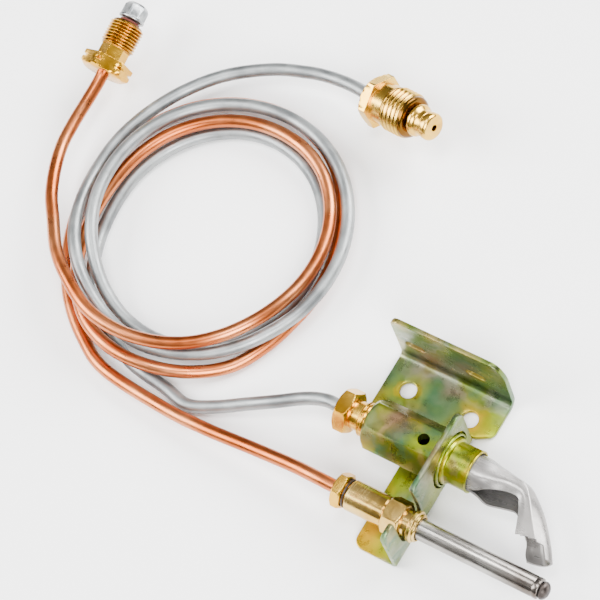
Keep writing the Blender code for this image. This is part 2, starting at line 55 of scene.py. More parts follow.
# x of the side flange's outer face: working x is measured from it
FACE_X = MOUNTS["side_flange"]["pos_m"][0]
PILOT_AXIS = Vector((FACE_X, *JOINTS["inlet_nut_turn"]["pos_m"][1:]))
PROBE_AXIS = Vector((FACE_X, *JOINTS["retainer_nut_turn"]["pos_m"][1:]))
LEAD_BASE = Vector(JOINTS["connector_nut_spin"]["pos_m"])
LEAD_AIM = Vector(JOINTS["connector_nut_spin"]["axis"])
GAS_BASE = Vector(JOINTS["gas_nut_spin"]["pos_m"])
GAS_AIM = Vector(JOINTS["gas_nut_spin"]["axis"])
SIDES = 96
QUARTER = math.pi / 2

# ---------------------------------------------------------------- camera
CAMERA_AZIMUTH, CAMERA_ELEVATION, CAMERA_ROLL = 54.8, 61.2, -26.0       # degrees
CAMERA_LENS, CAMERA_SENSOR = 163.4, 36.0                                # mm
CAMERA_PLACE = (0.2010, -0.1551, 0.5558)                                # m


def place_camera():
    """Long lens looking down on the plate, with the assembly turned in the frame."""
    azimuth, elevation, roll = (math.radians(a) for a in (CAMERA_AZIMUTH, CAMERA_ELEVATION,
                                                          CAMERA_ROLL))
    back = Vector((math.sin(azimuth) * math.cos(elevation),
                   -math.cos(azimuth) * math.cos(elevation), math.sin(elevation)))
    level = Vector((math.cos(azimuth), math.sin(azimuth), 0))
    above = back.cross(level)
    right = math.cos(roll) * level + math.sin(roll) * above
    up = math.cos(roll) * above - math.sin(roll) * level
    data = bpy.data.cameras.new("camera")
    data.lens = CAMERA_LENS
    data.sensor_width = CAMERA_SENSOR
    data.clip_start, data.clip_end = 0.01, 10.0
    camera = bpy.data.objects.new("camera", data)
    camera.matrix_world = (Matrix.Translation(CAMERA_PLACE)
                           @ Matrix((right, up, back)).transposed().to_4x4())
    bpy.context.scene.collection.objects.link(camera)
    bpy.context.scene.camera = camera


place_camera()

# ---------------------------------------------------------------- routes of the two tubes (mm)
TUBE_R = 1.5875
COIL_X, COIL_Y = -82.0, 26.0
# The straight stretches are points; the coil's stations are (angle, radius, height) about its centre
LEAD_START = [
    (-127.9, 60.1, 10.4), (-127.8, 54.2, 9.4), (-127.7, 49.3, 8.5), (-127.6, 46.3, 8.0),
    (-127.6, 41.0, 7.5), (-127.4, 35.5, 7.4), (-126.5, 28.8, 7.6), (-124.2, 22.2, 7.9),
    (-120.8, 15.8, 8.3),
]
LEAD_COIL = [
    (204, 37.9, 8.9), (216, 36.6, 9.8), (232, 35.1, 10.6), (246, 34.8, 10.6), (258, 34.2, 10.2),
    (272, 33.0, 9.3), (290, 31.7, 8.8), (316, 30.0, 8.8), (334, 29.0, 8.0), (352, 28.3, 6.3),
    (372, 28.4, 5.4), (396, 29.1, 5.2), (420, 29.6, 5.2), (445, 29.3, 5.2), (475, 28.9, 5.2),
    (505, 28.5, 5.2), (535, 28.2, 5.2), (553, 29.1, 5.1), (570, 31.2, 4.7), (585, 33.4, 4.8),
    (600, 35.4, 5.3), (614, 36.9, 5.5), (632, 37.2, 5.4), (648, 36.8, 4.5), (664, 35.8, 2.2),
    (678, 33.9, 1.6), (695, 31.8, 1.6), (712, 30.9, 1.6), (736, 30.7, 1.6), (760, 31.6, 1.6),
    (785, 33.6, 1.6), (815, 35.2, 1.6), (850, 35.8, 1.6), (880, 35.3, 1.6), (905, 35.2, 1.6),
    (930, 35.6, 1.6), (950, 37.1, 1.6), (968, 39.1, 1.7), (984, 41.6, 2.2),
]
LEAD_END = [
    (-68.0, -17.4, 2.8), (-56.0, -17.6, 3.6), (-44.0, -17.1, 4.8),
    (-32.0, -16.8, 6.3), (-25.5, -17.0, 7.2), (-21.0, -17.1, 7.4), (-14.0, -17.1, 7.4),
]
GAS_START = [
    (-54.2, 70.55, 9.85), (-58.5, 71.2, 8.8), (-62.45, 71.85, 7.85), (-65.3, 72.3, 7.15),
    (-70.4, 73.1, 6.4), (-76.4, 73.0, 6.0), (-82.2, 72.1, 5.6),
]
GAS_COIL = [
    (102, 44.1, 5.3), (120, 41.0, 5.2), (136, 38.3, 5.2), (152, 36.3, 5.2), (168, 34.8, 5.4),
    (182, 33.6, 5.7), (196, 32.7, 7.4), (210, 32.2, 8.7), (224, 31.9, 8.9), (240, 31.9, 8.1),
    (255, 32.3, 6.5), (270, 32.9, 5.5), (286, 32.8, 5.4), (306, 32.5, 5.2), (326, 32.2, 5.2),
    (346, 32.6, 5.2), (372, 33.1, 5.2), (400, 33.4, 5.2), (430, 33.7, 5.2), (458, 33.5, 5.3),
    (486, 32.9, 5.7), (506, 31.6, 7.1), (524, 29.9, 8.7), (544, 28.9, 8.9), (560, 28.4, 8.8),
    (575, 28.1, 7.8), (590, 28.3, 5.9), (610, 28.9, 3.6), (635, 29.3, 2.0), (660, 29.1, 1.6),
    (690, 27.7, 1.6), (720, 26.9, 1.6), (750, 26.8, 1.6), (785, 27.5, 1.6), (820, 27.8, 1.6),
    (850, 27.3, 1.6), (880, 26.8, 1.6), (905, 26.7, 1.6), (925, 27.8, 1.6), (945, 30.3, 1.6),
    (965, 32.8, 1.6), (978, 34.7, 1.6), (992, 37.2, 1.6), (1006, 40.2, 1.6),
]
GAS_END = [
    (-64.0, -14.0, 1.7), (-57.5, -11.6, 2.1), (-50.5, -7.9, 3.2), (-44.0, -4.7, 4.7),
    (-37.5, -1.5, 6.4), (-32.8, -0.1, 7.3), (-29.6, 0.0, 7.4), (-16.6, 0.0, 7.4),
]


def at(x, y, z):
    """Working millimetres to the frame's metres."""
    return Vector((x * MM + FACE_X, y * MM, z * MM))


def catmull(a, b, c, d, t):
    """Smooth curve through b and c, at t between them."""
    return 0.5 * ((2 * b) + (c - a) * t + (2 * a - 5 * b + 4 * c - d) * t * t
                  + (3 * b - a - 3 * c + d) * t ** 3)


def coil_points(stations, step=15.0):
    """Walk round the coil, easing radius and height between the stations."""
    start, end = stations[0][0], stations[-1][0]
    count = int(round((end - start) / step))
    points = []
    for k in range(count + 1):
        angle = start + (end - start) * k / count
        i = 0
        while i < len(stations) - 2 and stations[i + 1][0] <= angle:
            i += 1
        span = stations[i + 1][0] - stations[i][0]
        t = (angle - stations[i][0]) / span
        values = []
        for c in (1, 2):
            slopes = []
            for j in (i, i + 1):
                before = stations[max(j - 1, 0)]
                after = stations[min(j + 1, len(stations) - 1)]
                slopes.append((after[c] - before[c]) / (after[0] - before[0]) * span)
            y0, y1 = stations[i][c], stations[i + 1][c]
            values.append((2 * t ** 3 - 3 * t * t + 1) * y0 + (t ** 3 - 2 * t * t + t) * slopes[0]
                          + (3 * t * t - 2 * t ** 3) * y1 + (t ** 3 - t * t) * slopes[1])
        radius, height = values
        a = math.radians(angle)
        points.append((COIL_X + radius * math.cos(a), COIL_Y + radius * math.sin(a), height))
    return points


def even_path(route, spacing=1.0):
    """Evenly spaced points along a smooth curve through the route, and its length in mm."""
    pts = [Vector(p) for p in route]
    pts = [pts[0] * 2 - pts[1]] + pts + [pts[-1] * 2 - pts[-2]]
    fine = []
    for i in range(1, len(pts) - 2):
        for k in range(20):
            fine.append(catmull(pts[i - 1], pts[i], pts[i + 1], pts[i + 2], k / 20.0))
    fine.append(pts[-2])
    walked = [0.0]
    for a, b in zip(fine, fine[1:]):
        walked.append(walked[-1] + (b - a).length)
    count = int(round(walked[-1] / spacing)) + 1
    path = []
    j = 0
    for k in range(count):
        goal = walked[-1] * k / (count - 1)
        while j < len(walked) - 2 and walked[j + 1] < goal:
            j += 1
        t = (goal - walked[j]) / (walked[j + 1] - walked[j])
        path.append(fine[j].lerp(fine[j + 1], t))
    return path, walked[-1]


# ---------------------------------------------------------------- material tools
def linear(r, g, b):
    """0-255 display colour to the linear colour a shader takes."""
    return tuple(pow(c / 255.0, 2.2) for c in (r, g, b)) + (1.0,)


class Finish:
    """A Principled material and the few node patterns the finishes share."""

    def __init__(self, name, metallic, roughness):
        self.mat = bpy.data.materials.new(name)
        self.mat.use_nodes = True
        self.nodes = self.mat.node_tree.nodes
        self.links = self.mat.node_tree.links
        self.shader = self.nodes["Principled BSDF"]
        self.shader.inputs["Metallic"].default_value = metallic
        self.shader.inputs["Roughness"].default_value = roughness
        self.place = self.nodes.new("ShaderNodeTexCoord").outputs["Object"]

    def put(self, kind, **inputs):
        """A node with its sockets set or linked; an underscore stands for a space in a name."""
        node = self.nodes.new(kind)
        for key, value in inputs.items():
            self.feed(node.inputs[key.replace("_", " ")], value)
        return node

    def feed(self, socket, value):
        if isinstance(value, bpy.types.NodeSocket):
            self.links.new(value, socket)
        else:
            socket.default_value = value

    def scaled(self, x, y, z):
        """The piece's own coordinates, stretched along each axis."""
        node = self.put("ShaderNodeVectorMath", Vector=self.place)
        node.operation = "MULTIPLY"
        node.inputs[1].default_value = (x, y, z)
        return node.outputs[0]

    def noise(self, scale, detail=3.0, rough=0.5, vector=None, distort=0.0):
        node = self.put("ShaderNodeTexNoise", Vector=vector or self.place, Scale=scale,
                        Detail=detail, Roughness=rough, Distortion=distort)
        return node.outputs["Fac"]

    def ramp(self, fac, stops):
        """Colours at their positions, eased straight from one to the next."""
        node = self.put("ShaderNodeValToRGB", Fac=fac)
        elements = node.color_ramp.elements
        while len(elements) < len(stops):
            elements.new(0.5)
        for element, (position, colour) in zip(elements, stops):
            element.position = position
            element.color = colour
        return node.outputs["Color"]

    def mix(self, fac, a, b):
        """Colour a turning into colour b."""
        node = self.nodes.new("ShaderNodeMix")
        node.data_type = "RGBA"
        for index, value in ((0, fac), (6, a), (7, b)):
            self.feed(node.inputs[index], value)
        return node.outputs[2]

    def math(self, kind, a, b=0.0):
        node = self.nodes.new("ShaderNodeMath")
        node.operation = kind
        self.feed(node.inputs[0], a)
        self.feed(node.inputs[1], b)
        return node.outputs[0]

    def span(self, value, low, high, to_low=0.0, to_high=1.0):
        node = self.put("ShaderNodeMapRange", Value=value, From_Min=low, From_Max=high,
                        To_Min=to_low, To_Max=to_high)
        return node.outputs[0]

    def mottle(self, scale, low, high, to_low=0.0, to_high=1.0, detail=3.0, rough=0.5):
        """Noise whose values from low to high are spread over to_low to to_high."""
        return self.span(self.noise(scale, detail, rough), low, high, to_low, to_high)

    def along(self):
        """Distance along the piece's own long axis, in metres."""
        return self.put("ShaderNodeSeparateXYZ", Vector=self.place).outputs["X"]

    def radius(self):
        """Distance from the piece's own long axis, in metres."""
        flat = self.scaled(0.0, 1.0, 1.0)
        node = self.put("ShaderNodeVectorMath", Vector=flat)
        node.operation = "LENGTH"
        return node.outputs["Value"]

    def bump(self, height, strength, distance):
        node = self.put("ShaderNodeBump", Height=height, Strength=strength, Distance=distance)
        self.links.new(node.outputs[0], self.shader.inputs["Normal"])

    def colour(self, socket):
        self.links.new(socket, self.shader.inputs["Base Color"])

    def rough(self, socket):
        self.links.new(socket, self.shader.inputs["Roughness"])


# Passivation colours: the thin film runs from silver-blue through gold to green and mauve
OLIVE, LIME, GOLD, AMBER = (linear(90, 106, 30), linear(130, 142, 10), linear(160, 140, 0),
                            linear(182, 140, 0))
TEAL, MAUVE, SILVER, STRAW = (linear(70, 102, 70), linear(120, 82, 74), linear(122, 128, 106),
                              linear(158, 142, 84))
SPECK = linear(84, 80, 44)
BANDS_FROM, BANDS_REACH = 0.30, 0.42    # part of the noise's range that a finish's bands fill
FILM_WANDER = 0.007                     # how far the film's edges stray, in metres

# Marks on the other metals, and painted shade for thread roots, bores and a notch
TARNISH, ROOT_SHADE, NOTCH_SHADE = linear(150, 88, 26), linear(70, 34, 8), linear(82, 48, 14)
DRAW_LINE, HEAT_BROWN = linear(92, 86, 80), linear(58, 40, 30)


def zinc(name, bands, patches=(), scale=1.0, pale=0.25):
    """Yellow-passivated zinc: slow film-colour bands, pale clouds, stains, specks and grain.

    A patch is (centre in metres, inner and outer radius in mm, colour, amount).
    """
    f = Finish(name, 0.92, 0.30)
    wander = f.put("ShaderNodeTexNoise", Vector=f.place, Scale=170.0 * scale, Detail=3.0)
    shift = f.put("ShaderNodeVectorMath", Vector=wander.outputs["Color"])
    shift.operation = "MULTIPLY_ADD"
    shift.inputs[1].default_value = (FILM_WANDER,) * 3
    shift.inputs[2].default_value = (-FILM_WANDER / 2,) * 3
    moved = f.put("ShaderNodeVectorMath", Vector=f.place)
    moved.operation = "ADD"
    f.links.new(shift.outputs[0], moved.inputs[1])
    warped = f.noise(62.0 * scale, 2.5, 0.55, vector=moved.outputs[0], distort=0.5)
    colour = f.ramp(warped, [(BANDS_FROM + BANDS_REACH * k / (len(bands) - 1), band)
                             for k, band in enumerate(bands)])
    colour = f.mix(f.mottle(46.0 * scale, 0.45, 0.65, 0.0, pale, detail=2.0), colour, SILVER)
    for centre, inner, outer, tone, amount in patches:
        near = f.put("ShaderNodeVectorMath", Vector=moved.outputs[0])
        near.operation = "DISTANCE"
        near.inputs[1].default_value = centre
        zone = f.span(near.outputs["Value"], inner * MM, outer * MM, amount, 0.0)
        colour = f.mix(zone, colour, tone)
    f.colour(f.mix(f.mottle(1300.0, 0.58, 0.74, 0.0, 0.06), colour, SPECK))
    f.rough(f.mottle(300.0, 0.3, 0.7, 0.22, 0.42, detail=4.0, rough=0.6))
    grain = f.noise(900.0, 4.0, 0.6, f.scaled(0.35, 1.0, 1.0))
    f.bump(grain, 0.10, 0.00012)
    return f.mat


def brass(name, deep, light, notch=None, root=None, lathe=0.10):
    """Turned brass with lathe lines, and painted shade darkening the thread roots, bores and a notch.

    root is (low radius, high radius, first x) and notch (middle x, depth, wall's slope, reach), in mm.
    """
    f = Finish(name, 1.0, 0.24)
    blotch = f.noise(160.0, 3.0, 0.55)
    colour = f.mix(f.span(blotch, 0.35, 0.65), deep, light)
    colour = f.mix(f.mottle(420.0, 0.58, 0.75, 0.0, 0.30), colour, TARNISH)
    x = f.along()
    # Painted shade: darkens all below the low radius past the first x, that is the thread roots and
    # the bore
    if root:
        low, high, start = root
        root_shade = f.span(f.radius(), low * MM, high * MM, 0.9, 0.0)
        root_shade = f.math("MULTIPLY", root_shade, f.span(x, (start - 0.1) * MM, (start + 0.1) * MM))
        colour = f.mix(root_shade, colour, ROOT_SHADE)
    # Painted shade: darkens the facets of the V-groove in the notch
    if notch:
        middle, depth, slope, reach = notch
        away = f.math("ABSOLUTE", f.math("SUBTRACT", x, middle * MM))
        wall = f.math("ADD", f.math("MULTIPLY", away, slope), depth * MM)
        over = f.span(f.math("SUBTRACT", f.radius(), wall), -0.03 * MM, -0.01 * MM)
        inside = f.span(away, (reach - 0.05) * MM, reach * MM, 0.75, 0.0)
        colour = f.mix(f.math("MULTIPLY", over, inside), colour, NOTCH_SHADE)
    f.colour(colour)
    lines = f.noise(1.0, 3.0, 0.7, f.put("ShaderNodeCombineXYZ", X=f.math("MULTIPLY", x, 5200.0),
                                         Y=f.math("MULTIPLY", f.radius(), 2400.0)).outputs[0])
    f.rough(f.math("ADD", f.span(lines, 0.3, 0.7, 0.12, 0.24), f.span(blotch, 0.4, 0.7, 0.0, 0.10)))
    f.bump(lines, lathe, 0.00006)
    return f.mat


def drawn_tube(name, tones, stain, metallic, rough_low, rough_high, streak):
    """Drawn tube: slow drifts between three tones, stains, fine scuffs and small dents."""
    f = Finish(name, metallic, 0.35)
    colour = f.ramp(f.noise(70.0), list(zip((0.32, 0.50, 0.66), tones)))
    f.colour(f.mix(f.mottle(620.0, 0.55, 0.78, 0.0, streak, detail=4.0, rough=0.6), colour, stain))
    f.rough(f.mottle(300.0, 0.3, 0.7, rough_low, rough_high, detail=4.0))
    f.bump(f.noise(520.0, 4.0, 0.6), 0.06, 0.0001)
    return f.mat


def stainless(name, light, dark, heat, lines_at=(1.5, 34.0, 34.0), depth=0.05,
              rougher=0.0, metallic=1.0):
    """Stainless with draw lines and a heat tint towards the flame end.

    heat is (from, to, most), the first two in mm; lines_at stretches the lines along x, y and z.
    """
    f = Finish(name, metallic, 0.26)
    start, end, most = heat
    tint = f.math("MULTIPLY", f.span(f.along(), start * MM, end * MM, 0.0, most),
                  f.mottle(210.0, 0.3, 0.7, 0.5, 1.0))
    lines = f.noise(60.0, 4.0, 0.65, f.scaled(*lines_at))
    base = f.mix(f.mottle(120.0, 0.35, 0.65), light, dark)
    base = f.mix(f.span(lines, 0.5, 0.8, 0.0, 0.22), base, DRAW_LINE)
    f.colour(f.mix(tint, base, HEAT_BROWN))
    f.rough(f.span(lines, 0.3, 0.7, 0.20 + rougher, 0.34 + rougher))
    f.bump(lines, depth, 0.00008)
    return f.mat


def soldered(name):
    """Dull tinned metal with a lumpy skin."""
    f = Finish(name, 1.0, 0.2)
    f.colour(f.mix(f.mottle(500.0, 0.4, 0.65), linear(160, 163, 164), linear(118, 121, 123)))
    f.rough(f.mottle(800.0, 0.3, 0.7, 0.26, 0.46))
    f.bump(f.noise(620.0, 3.0, 0.6), 0.35, 0.00025)
    return f.mat


def fibre(name):
    """Red vulcanised fibre, laid in sheets across the axis."""
    f = Finish(name, 0.0, 0.7)
    threads = f.noise(1.0, 4.0, 0.7, f.scaled(9000.0, 1500.0, 1500.0))
    f.colour(f.mix(threads, linear(74, 26, 20), linear(132, 60, 44)))
    f.rough(f.span(threads, 0.3, 0.7, 0.55, 0.85))
    f.bump(threads, 0.4, 0.0001)
    return f.mat


def oxide(name):
    """Steel under a dark scale."""
    f = Finish(name, 0.6, 0.5)
    f.colour(f.mix(f.mottle(700.0, 0.35, 0.65, detail=4.0), linear(34, 29, 26),
                   linear(78, 70, 66)))
    f.rough(f.mottle(900.0, 0.3, 0.7, 0.34, 0.62))
    f.bump(f.noise(1500.0, 4.0), 0.3, 0.0001)
    return f.mat


def ceramic(name):
    """Pale unglazed ceramic."""
    f = Finish(name, 0.0, 0.6)
    f.colour(f.mix(f.noise(600.0), linear(226, 218, 196), linear(202, 190, 166)))
    f.rough(f.mottle(900.0, 0.3, 0.7, 0.5, 0.75))
    f.bump(f.noise(2500.0, 4.0), 0.3, 0.00008)
    return f.mat


# ---------------------------------------------------------------- mesh tools
def place_piece(obj, body, nodes, mat):
    """Paint a piece, tie it to its body, and let it stand in for its CAD nodes."""
    obj.data.materials.clear()
    obj.data.materials.append(mat)
    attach(obj, body)
    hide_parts(*nodes)


def new_object(name, data, matrix=Matrix()):
    """An object in the scene, placed by its matrix."""
    obj = bpy.data.objects.new(name, data)
    bpy.context.scene.collection.objects.link(obj)
    obj.matrix_world = matrix
    return obj


def new_mesh(name, bm):
    """The finished mesh of a bmesh, which is then freed."""
    mesh = bpy.data.meshes.new(name)
    bm.to_mesh(mesh)
    bm.free()
    return mesh


def aimed(base, aim):
    """Matrix that puts local +X along the aim, at the base."""
    ahead = Vector(aim).normalized()
    side = Vector((0, 0, 1)).cross(ahead)
    side = side.normalized() if side.length > 1e-6 else Vector((0, 1, 0))
    return Matrix.Translation(base) @ Matrix((ahead, side, ahead.cross(side))).transposed().to_4x4()


CHAMFER_INNER, CHAMFER_STEPS = 0.97, 4      # a chamfer's inner radius over half the flats
THREAD_STEPS, THREAD_FADE = 10, 0.6         # stations to a pitch, and run-out in pitches
ROOT_FLAT, FLANK = 0.10, 0.78               # root and flank, in half pitches


def flat_radius(half, angle):
    """Radius of a hexagon with its flats at half, at an angle from a flat's middle."""
    off = (angle + math.pi / 6) % (math.pi / 3) - math.pi / 6
    return half / math.cos(off)


def crowned(half):
    """Hexagon cut by a turned chamfer: the station's radius is the cone's, half the flats'."""
    return lambda radius, angle: min(flat_radius(half, angle), radius)


def plain_hex(radius, angle):
    """Hexagon whose flats lie at the station's radius."""
    return flat_radius(radius, angle)


def plain_round(radius, angle):
    """Circle: the station's radius at every angle."""
    return radius


def hex_block(start, end, half, chamfer=0.6, both=True):
    """Stations of a hexagonal block with scalloped chamfers."""
    corner = half / math.cos(math.pi / 6)
    low = CHAMFER_INNER * half
    shape = crowned(half)
    climb = [(chamfer * k / CHAMFER_STEPS, low + (corner - low) * k / CHAMFER_STEPS)
             for k in range(CHAMFER_STEPS + 1)]
    rows = [(start + run, radius, shape) for run, radius in climb]
    if both:
        rows += [(end - run, radius, shape) for run, radius in reversed(climb)]
    else:
        rows.append((end, corner, shape))
    return rows


def helix(start, end, radius, depth, pitch):
    """Stations of a single-start thread that fades in and out at its ends."""
    rows = []
    count = int(round((end - start) / pitch * THREAD_STEPS))
    runout = THREAD_FADE * pitch
    for k in range(count + 1):
        x = start + (end - start) * k / count

        def shape(r, angle, x=x):
            turns = (x - start) / pitch - angle / (2 * math.pi)
            wave = abs((turns % 1.0) * 2 - 1)
            wave = min(max((wave - ROOT_FLAT) / FLANK, 0.0), 1.0)
            fade = min(1.0, (x - start) / runout, (end - x) / runout)
            return r - depth * (1.0 - wave * max(fade, 0.0))
        rows.append((x, radius, shape))
    return rows


def turned(name, stations, bore, base, aim=(1, 0, 0), turn=0.0, bevel=0.10, sides=SIDES):
    """Turned mesh about local +X, from stations (x, radius) or (x, radius, shape).

    The bore's stations run back from the far end; without a bore the ends are closed.
    """
    bm = bmesh.new()
    rings = []
    for x, radius, shape in ((*row, plain_round)[:3] for row in (*stations, *bore)):
        ring = []
        for k in range(sides):
            a = 2 * math.pi * k / sides
            r = shape(radius, a) * MM
            ring.append(bm.verts.new((x * MM, r * math.cos(a + turn), r * math.sin(a + turn))))
        rings.append(ring)
    pairs = [(i, i + 1) for i in range(len(rings) - 1)]
    if bore:
        pairs.append((len(rings) - 1, 0))
    for i, j in pairs:
        for k in range(sides):
            n = (k + 1) % sides
            bm.faces.new((rings[i][k], rings[i][n], rings[j][n], rings[j][k]))
    if not bore:
        bm.faces.new(rings[0])
        bm.faces.new(list(reversed(rings[-1])))
    bmesh.ops.remove_doubles(bm, verts=bm.verts, dist=1e-6)
    bmesh.ops.recalc_face_normals(bm, faces=bm.faces)
    return soften(new_object(name, new_mesh(name, bm), aimed(base, aim)), bevel)


def turned_piece(name, node, body, slot, mat, *shape, **options):
    """A turned piece in place of one CAD node; the rest of the call describes its mesh."""
    place_piece(turned(name, *shape, **options), body, [node], mat)


def soften(obj, width, angle=35):
    """Rounded edges with clean shading on the flats; width 0 only splits the shading."""
    mesh = obj.data
    mesh.shade_smooth()
    if width:
        mod = obj.modifiers.new("edge", "BEVEL")
        mod.width = width * MM
        mod.segments = 2
        mod.limit_method = "ANGLE"
        mod.angle_limit = math.radians(angle)
        mod.use_clamp_overlap = True
        mod.harden_normals = True
    else:
        mesh.set_sharp_from_angle(angle=math.radians(angle))
    return obj


def arc(cx, cy, radius, start, end, steps):
    """Points round a centre, from one angle to the other in degrees."""
    points = []
    for k in range(steps + 1):
        a = math.radians(start + (end - start) * k / steps)
        points.append((cx + radius * math.cos(a), cy + radius * math.sin(a)))
    return points


def circle(cx, cy, radius, count):
    """Points all round a centre, the first not repeated."""
    return arc(cx, cy, radius, 0, 360 - 360 / count, count - 1)


# ---------------------------------------------------------------- bracket
SHEET, EDGE = 1.2, 0.22                     # thickness, and rounding of the sheared edge
BEND, TOP_BEND = 2.0, 2.8                   # outer radii of the side and top folds
LEFT, RIGHT, LOWER_LEFT = -25.6, 3.8, -11.8
BOTTOM, TOP, STEP_Y = -25.6, 21.0, -0.5
FLANGE_HEIGHT, TOP_HEIGHT = 17.4, 18.6
FLANGE_Y, SLIT_Y = 8.2, 8.45                # side flange's end, and the slit that frees its fold
FOOT_R, SHOULDER_R = 2.4, 2.2
FORK_Z, FORK_R = 7.9, 4.15
PILOT_HOLE_R = 6.9
HOLES, HOLE_R = [(-19.5, 12.2), (-3.2, 12.2)], 2.0
SLOTS, SLOT_LENGTH, SLOT_R = [(-20.5, 8.6), (-4.6, 8.6)], 5.0, 1.3
FOLD_STEPS, GRID_STEPS = 10, 12
ACROSS, UPWARD = (1, 0, 0), (0, 1, 0)


def bend_length(outer):
    """Length of a 90 degree bend along the sheet's middle."""
    return (outer - SHEET / 2) * QUARTER


def fold(s, start, z, outer):
    """Carry a point of the flat blank round a 90 degree bend that begins at start."""
    walked = s - start
    radius = outer - z
    angle = min(walked / bend_length(outer), 1.0) * QUARTER
    beyond = max(walked - bend_length(outer), 0.0)
    return start + radius * math.sin(angle), outer - radius * math.cos(angle) + beyond


def blank_outlines():
    """Flat blank: outer edge first, then the holes, as (x, y) lists."""
    def side(z):
        return -BEND + bend_length(BEND) + z - BEND

    def top(z):
        return TOP - TOP_BEND + bend_length(TOP_BEND) + z - TOP_BEND

    rim, crest = side(FLANGE_HEIGHT), top(TOP_HEIGHT)
    fork_y, pilot_y, pilot_z = PROBE_AXIS.y / MM, PILOT_AXIS.y / MM, PILOT_AXIS.z / MM
    outer = [(LEFT, STEP_Y + 0.8), (LEFT + 0.8, STEP_Y), (LOWER_LEFT, STEP_Y)]
    outer += arc(LOWER_LEFT + FOOT_R, BOTTOM + FOOT_R, FOOT_R, 180, 270, 10)
    outer += [(rim - 1.2, BOTTOM), (rim - 0.2, BOTTOM + 0.5), (rim, BOTTOM + 1.4),
              (rim, fork_y - FORK_R - 0.7), (rim - 0.5, fork_y - FORK_R - 0.1)]
    outer += arc(side(FORK_Z), fork_y, FORK_R, 270, 90, 20)
    outer += [(rim - 0.4, fork_y + FORK_R), (rim, fork_y + FORK_R + 0.4),
              (rim, FLANGE_Y - 2.0), (rim - 0.5, FLANGE_Y - 1.0), (rim - 1.8, FLANGE_Y - 0.2),
              (rim - 3.2, FLANGE_Y), (-BEND + 0.2, FLANGE_Y), (-BEND + 0.6, FLANGE_Y + 0.35),
              (0.2, FLANGE_Y + 0.7)]
    outer += arc(RIGHT - SHOULDER_R, HOLES[1][1], SHOULDER_R, -68, 0, 8)
    outer += [(RIGHT, TOP - TOP_BEND), (RIGHT, crest - 5.6), (RIGHT - 0.25, crest - 4.0),
              (RIGHT - 1.0, crest - 1.8), (RIGHT - 1.9, crest - 0.6), (RIGHT - 3.0, crest),
              (LEFT + 1.9, crest), (LEFT + 0.9, crest - 0.4), (LEFT + 0.1, crest - 1.7),
              (LEFT, crest - 2.4)]
    holes = [circle(x, y, HOLE_R, 60) for x, y in HOLES]
    holes.append(circle(side(pilot_z), pilot_y, PILOT_HOLE_R, 96))
    reach = SLOT_LENGTH / 2 - SLOT_R
    for x, z in SLOTS:
        holes.append(arc(x + reach, top(z), SLOT_R, -90, 90, 20)
                     + arc(x - reach, top(z), SLOT_R, 90, 270, 20))
    return [outer] + holes


def build_bracket(mat):
    """Blank with rounded edges, cut into strips at the bends and folded up."""
    curve = bpy.data.curves.new("bracket_blank", "CURVE")
    curve.dimensions = "2D"
    curve.fill_mode = "BOTH"
    curve.extrude = (SHEET / 2 - EDGE) * MM
    curve.bevel_depth = EDGE * MM
    curve.bevel_resolution = 3
    curve.offset = -EDGE * MM
    for outline in blank_outlines():
        spline = curve.splines.new("POLY")
        spline.points.add(len(outline) - 1)
        spline.use_cyclic_u = True
        for point, (x, y) in zip(spline.points, outline):
            point.co = (x * MM, y * MM, 0, 1)
    flat = new_object("bracket_blank", curve)
    bpy.context.view_layer.update()
    mesh = bpy.data.meshes.new_from_object(flat.evaluated_get(bpy.context.evaluated_depsgraph_get()))
    bpy.data.objects.remove(flat)
    bm = bmesh.new()
    bm.from_mesh(mesh)
    bmesh.ops.remove_doubles(bm, verts=bm.verts, dist=2e-6)

    def cut(normal, level):
        bmesh.ops.bisect_plane(bm, geom=bm.verts[:] + bm.edges[:] + bm.faces[:], dist=1e-7,
                               plane_co=Vector(normal) * level * MM, plane_no=normal)

    for k in range(FOLD_STEPS + 1):
        cut(ACROSS, -BEND + bend_length(BEND) * k / FOLD_STEPS)
        cut(UPWARD, TOP - TOP_BEND + bend_length(TOP_BEND) * k / FOLD_STEPS)
    for k in range(1, GRID_STEPS):
        cut(ACROSS, LEFT + (-BEND - LEFT) * k / GRID_STEPS)
        cut(UPWARD, BOTTOM + (TOP - TOP_BEND - BOTTOM) * k / GRID_STEPS)
    for vert in bm.verts:
        x, y, z = vert.co / MM
        z += SHEET / 2
        if y > TOP - TOP_BEND:
            y, z = fold(y, TOP - TOP_BEND, z, TOP_BEND)
        elif x > -BEND and y < SLIT_Y:
            x, z = fold(x, -BEND, z, BEND)
        vert.co = at(x, y, z)
    bmesh.ops.recalc_face_normals(bm, faces=bm.faces)
    sheet = soften(new_object("bracket_sheet", new_mesh("bracket_sheet", bm)), 0.0, 40)
    place_piece(sheet, ROOT, ["bracket"], mat)


def stain(x, y, z, inner, outer, tone, amount):
    """A zinc patch at working millimetres."""
    return at(x, y, z), inner, outer, tone, amount


